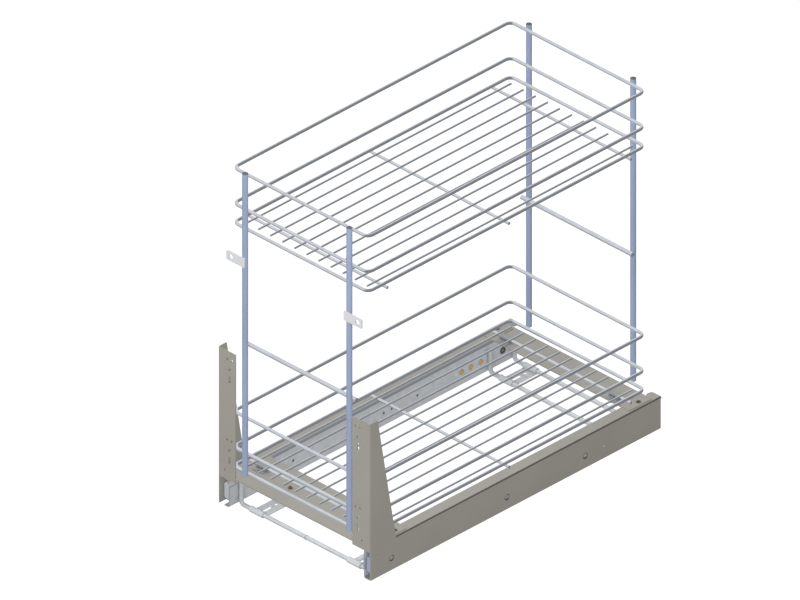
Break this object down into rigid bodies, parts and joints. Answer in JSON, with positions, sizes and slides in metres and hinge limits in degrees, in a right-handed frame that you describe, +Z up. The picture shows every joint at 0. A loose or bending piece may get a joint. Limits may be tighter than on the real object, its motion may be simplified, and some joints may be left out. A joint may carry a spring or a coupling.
{
  "type": "pull-out kitchen cabinet fitting",
  "caption": "Pull-out base cabinet fitting: wire baskets on uprights over sheet side panels that slide on ball runners, with front brackets and floor plates.",
  "frame": {"origin": "on the cabinet floor, under the middle of the fitting's outer box", "axes": "+Z up, +Y into the cabinet, +X to the right as seen from the front"},
  "size_m": [0.26, 0.503, 0.4909],
  "materials": {
    "panel_lacquer": "satin grey-beige powder coat on bent sheet steel",
    "upright_lacquer": "satin pale blue-lavender lacquer on round steel bar",
    "wire_chrome": "bright chromed wire",
    "tab_zinc": "bright zinc plate",
    "rail_zinc": "rolled galvanised steel",
    "middle_rail_zinc": "rolled steel with blue zinc plating",
    "foot_zinc": "pressed galvanised steel",
    "bar_zinc": "drawn zinc-plated wire",
    "brass_fastener": "yellow passivated",
    "steel_fastener": "zinc-plated rivet",
    "dark_fastener": "dark browned hollow rivet",
    "dark_brass": "dull yellow passivated screw",
    "cap_nylon": "moulded pale blue-grey nylon",
    "clip_steel": "grey zinc-plated spring steel",
    "cage_steel": "pressed sheet",
    "ball_steel": "ground ball",
    "buffer_rubber": "moulded rubber"
  },
  "bodies": {
    "base": {"left_cabinet_rail": "rail_zinc", "left_rail_rivets": "brass_fastener", "left_rail_stud": "tab_zinc", "left_rail_eyelet": "dark_fastener", "left_rear_buffer": "buffer_rubber", "right_cabinet_rail": "rail_zinc", "right_rail_rivets": "brass_fastener", "right_rail_stud": "tab_zinc", "right_rail_eyelet": "dark_fastener", "right_rear_buffer": "buffer_rubber", "front_first_floor_bar": "bar_zinc", "front_second_floor_bar": "bar_zinc", "front_left_foot_plate": "foot_zinc", "front_right_foot_plate": "foot_zinc", "rear_first_floor_bar": "bar_zinc", "rear_second_floor_bar": "bar_zinc", "rear_left_foot_plate": "foot_zinc", "rear_right_foot_plate": "foot_zinc"},
    "carriage": {"left_drawer_rail": "rail_zinc", "left_front_cap": "cap_nylon", "left_side_panel": "panel_lacquer", "left_panel_rivets": "steel_fastener", "left_front_upright": "upright_lacquer", "left_rear_upright": "upright_lacquer", "left_front_tab": "tab_zinc", "right_drawer_rail": "rail_zinc", "right_front_cap": "cap_nylon", "right_side_panel": "panel_lacquer", "right_panel_rivets": "steel_fastener", "right_front_upright": "upright_lacquer", "right_rear_upright": "upright_lacquer", "right_front_tab": "tab_zinc", "front_cross_plate": "panel_lacquer", "front_crossbar": "wire_chrome", "rear_cross_plate": "panel_lacquer", "rear_crossbar": "wire_chrome", "plate_eyelets": "dark_fastener", "basket_clips": "clip_steel", "clip_screws": "clip_steel", "plate_screw": "dark_brass", "lower_bottom_ring": "wire_chrome", "lower_middle_ring": "wire_chrome", "lower_top_ring": "wire_chrome", "lower_cross_wires": "wire_chrome", "lower_floor_wires": "wire_chrome", "upper_bottom_ring": "wire_chrome", "upper_middle_ring": "wire_chrome", "upper_top_ring": "wire_chrome", "upper_cross_wires": "wire_chrome", "upper_floor_wires": "wire_chrome"},
    "left_middle": {"left_middle_rail": "middle_rail_zinc"},
    "left_outer_bearing": {"left_outer_ball_cage": "cage_steel", "left_outer_balls": "ball_steel"},
    "left_inner_bearing": {"left_inner_ball_cage": "cage_steel", "left_inner_balls": "ball_steel"},
    "right_middle": {"right_middle_rail": "middle_rail_zinc"},
    "right_outer_bearing": {"right_outer_ball_cage": "cage_steel", "right_outer_balls": "ball_steel"},
    "right_inner_bearing": {"right_inner_ball_cage": "cage_steel", "right_inner_balls": "ball_steel"}
  },
  "joints": [
    {"name": "carriage_slide", "type": "slide", "parent": "base", "child": "carriage", "axis": [0, -1, 0], "range_m": [0, 0.45]},
    {"name": "left_middle_slide", "type": "slide", "parent": "base", "child": "left_middle", "axis": [0, -1, 0], "range_m": [0, 0.225]},
    {"name": "left_outer_bearing_slide", "type": "slide", "parent": "base", "child": "left_outer_bearing", "axis": [0, -1, 0], "range_m": [0, 0.1125]},
    {"name": "left_inner_bearing_slide", "type": "slide", "parent": "base", "child": "left_inner_bearing", "axis": [0, -1, 0], "range_m": [0, 0.3375]},
    {"name": "right_middle_slide", "type": "slide", "parent": "base", "child": "right_middle", "axis": [0, -1, 0], "range_m": [0, 0.225]},
    {"name": "right_outer_bearing_slide", "type": "slide", "parent": "base", "child": "right_outer_bearing", "axis": [0, -1, 0], "range_m": [0, 0.1125]},
    {"name": "right_inner_bearing_slide", "type": "slide", "parent": "base", "child": "right_inner_bearing", "axis": [0, -1, 0], "range_m": [0, 0.3375]}
  ],
  "couplings": [
    {"joint": "left_middle_slide", "follows": "carriage_slide", "ratio": 0.5},
    {"joint": "left_outer_bearing_slide", "follows": "carriage_slide", "ratio": 0.25},
    {"joint": "left_inner_bearing_slide", "follows": "carriage_slide", "ratio": 0.75},
    {"joint": "right_middle_slide", "follows": "carriage_slide", "ratio": 0.5},
    {"joint": "right_outer_bearing_slide", "follows": "carriage_slide", "ratio": 0.25},
    {"joint": "right_inner_bearing_slide", "follows": "carriage_slide", "ratio": 0.75}
  ]
}
